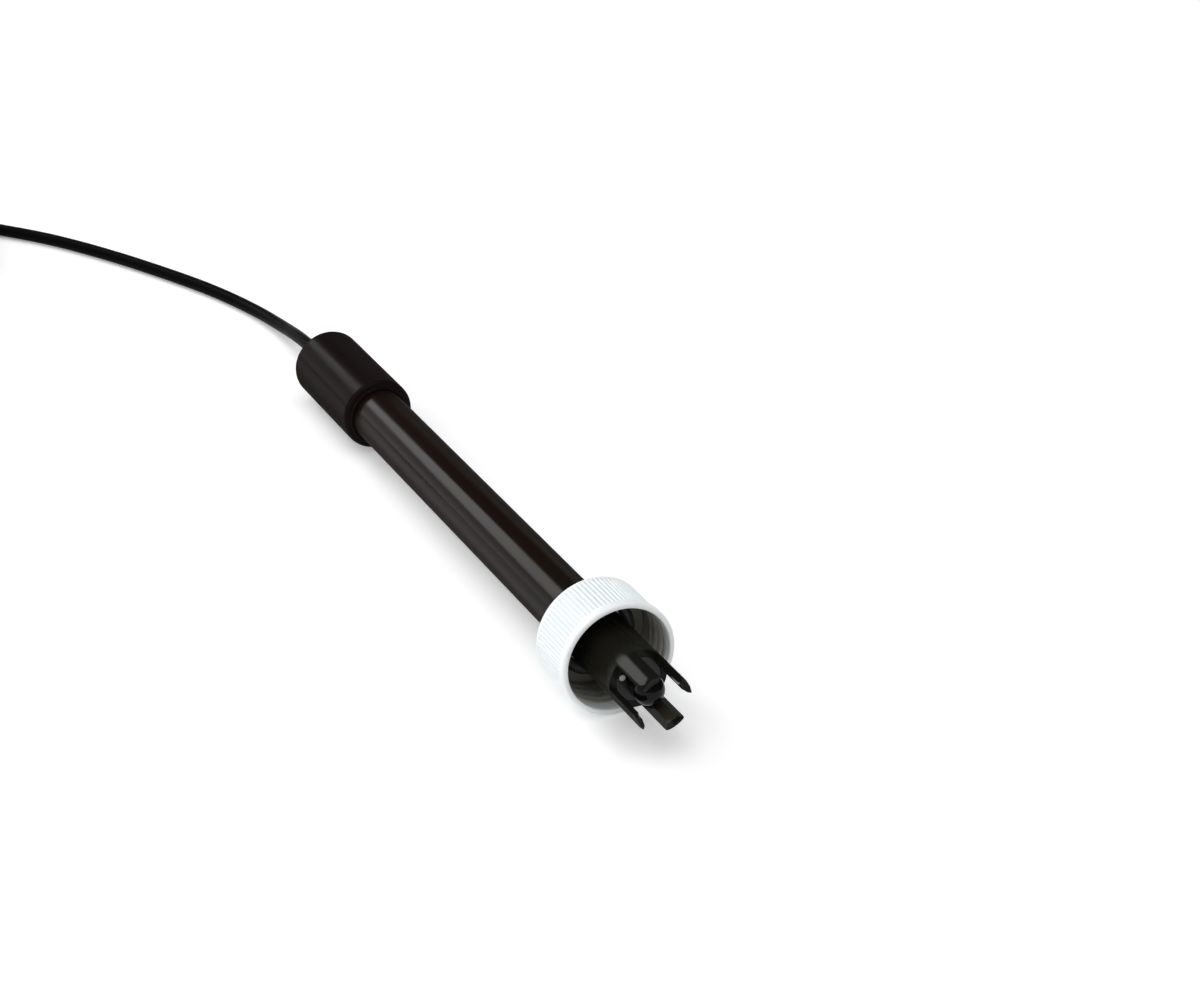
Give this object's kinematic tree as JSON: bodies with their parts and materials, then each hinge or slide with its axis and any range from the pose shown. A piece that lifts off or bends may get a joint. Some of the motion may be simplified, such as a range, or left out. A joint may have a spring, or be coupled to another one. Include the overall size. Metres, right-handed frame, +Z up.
{
  "type": "ph electrode",
  "caption": "Combination pH electrode: dark plastic shaft with a slotted bulb guard, black top cap with cable and bayonet plug, and a ribbed white storage cap that slides on the shaft.",
  "frame": {"origin": "centre of the electrode's footprint on the surface that it lies on, cable left out", "axes": "+X along the shaft towards the bulb, +Z up"},
  "size_m": [0.3099, 0.1064, 0.0235],
  "materials": {
    "shaft_plastic": "polished",
    "cap_plastic": "moulded",
    "clear_glass": "fire polished",
    "seal_resin": "cast",
    "porous_ceramic": "unglazed",
    "silver": "drawn",
    "buffer_gel": "clear",
    "salt_gel": "clear",
    "bung_rubber": "matte",
    "core_insulation": "smooth",
    "copper": "stranded",
    "solder": "bright",
    "plated_metal": "nickel plated",
    "contact_metal": "gold plated",
    "cable_jacket": "satin",
    "tie_plastic": "satin",
    "white_plastic": "moulded",
    "seal_rubber": "matte",
    "boot_rubber": "matte",
    "insulator_plastic": "smooth"
  },
  "bodies": {
    "electrode": {"body_tube": "shaft_plastic", "top_cap": "cap_plastic", "glass_electrode": "clear_glass", "end_plug": "seal_resin", "reference_junction": "porous_ceramic", "inner_wire": "silver", "reference_wire": "silver", "inner_buffer": "buffer_gel", "reference_gel": "salt_gel", "stem_bung": "bung_rubber", "tube_stopper": "bung_rubber", "core_lead": "core_insulation", "shield_lead": "copper", "core_joint": "solder", "shield_joint": "solder", "cable_ferrule": "plated_metal", "cable_lead": "cable_jacket", "cable_coil": "cable_jacket", "cable_tail": "cable_jacket", "cable_tie": "tie_plastic", "plug_boot": "boot_rubber", "plug_crimp": "plated_metal", "plug_body": "plated_metal", "plug_insulator": "insulator_plastic", "plug_pin": "contact_metal", "plug_gasket": "seal_rubber", "plug_washer": "plated_metal"},
    "seal_ring": {"seal_ring": "seal_rubber"},
    "screw_cap": {"screw_cap": "white_plastic"},
    "plug_coupling": {"plug_coupling": "plated_metal"}
  },
  "joints": [
    {"name": "cap_slide", "type": "slide", "parent": "electrode", "child": "seal_ring", "axis": [0.9997, 0, 0.0258], "range_m": [-0.1024, 0.0161]},
    {"name": "cap_spin", "type": "hinge", "parent": "seal_ring", "child": "screw_cap", "pos_m": [0.05198, 0, 0.01143], "axis": [0.9997, 0, 0.0258], "continuous": true},
    {"name": "coupling_turn", "type": "hinge", "parent": "electrode", "child": "plug_coupling", "pos_m": [-0.1345, -0.0875, 0.0072], "axis": [1, 0, 0], "continuous": true}
  ]
}
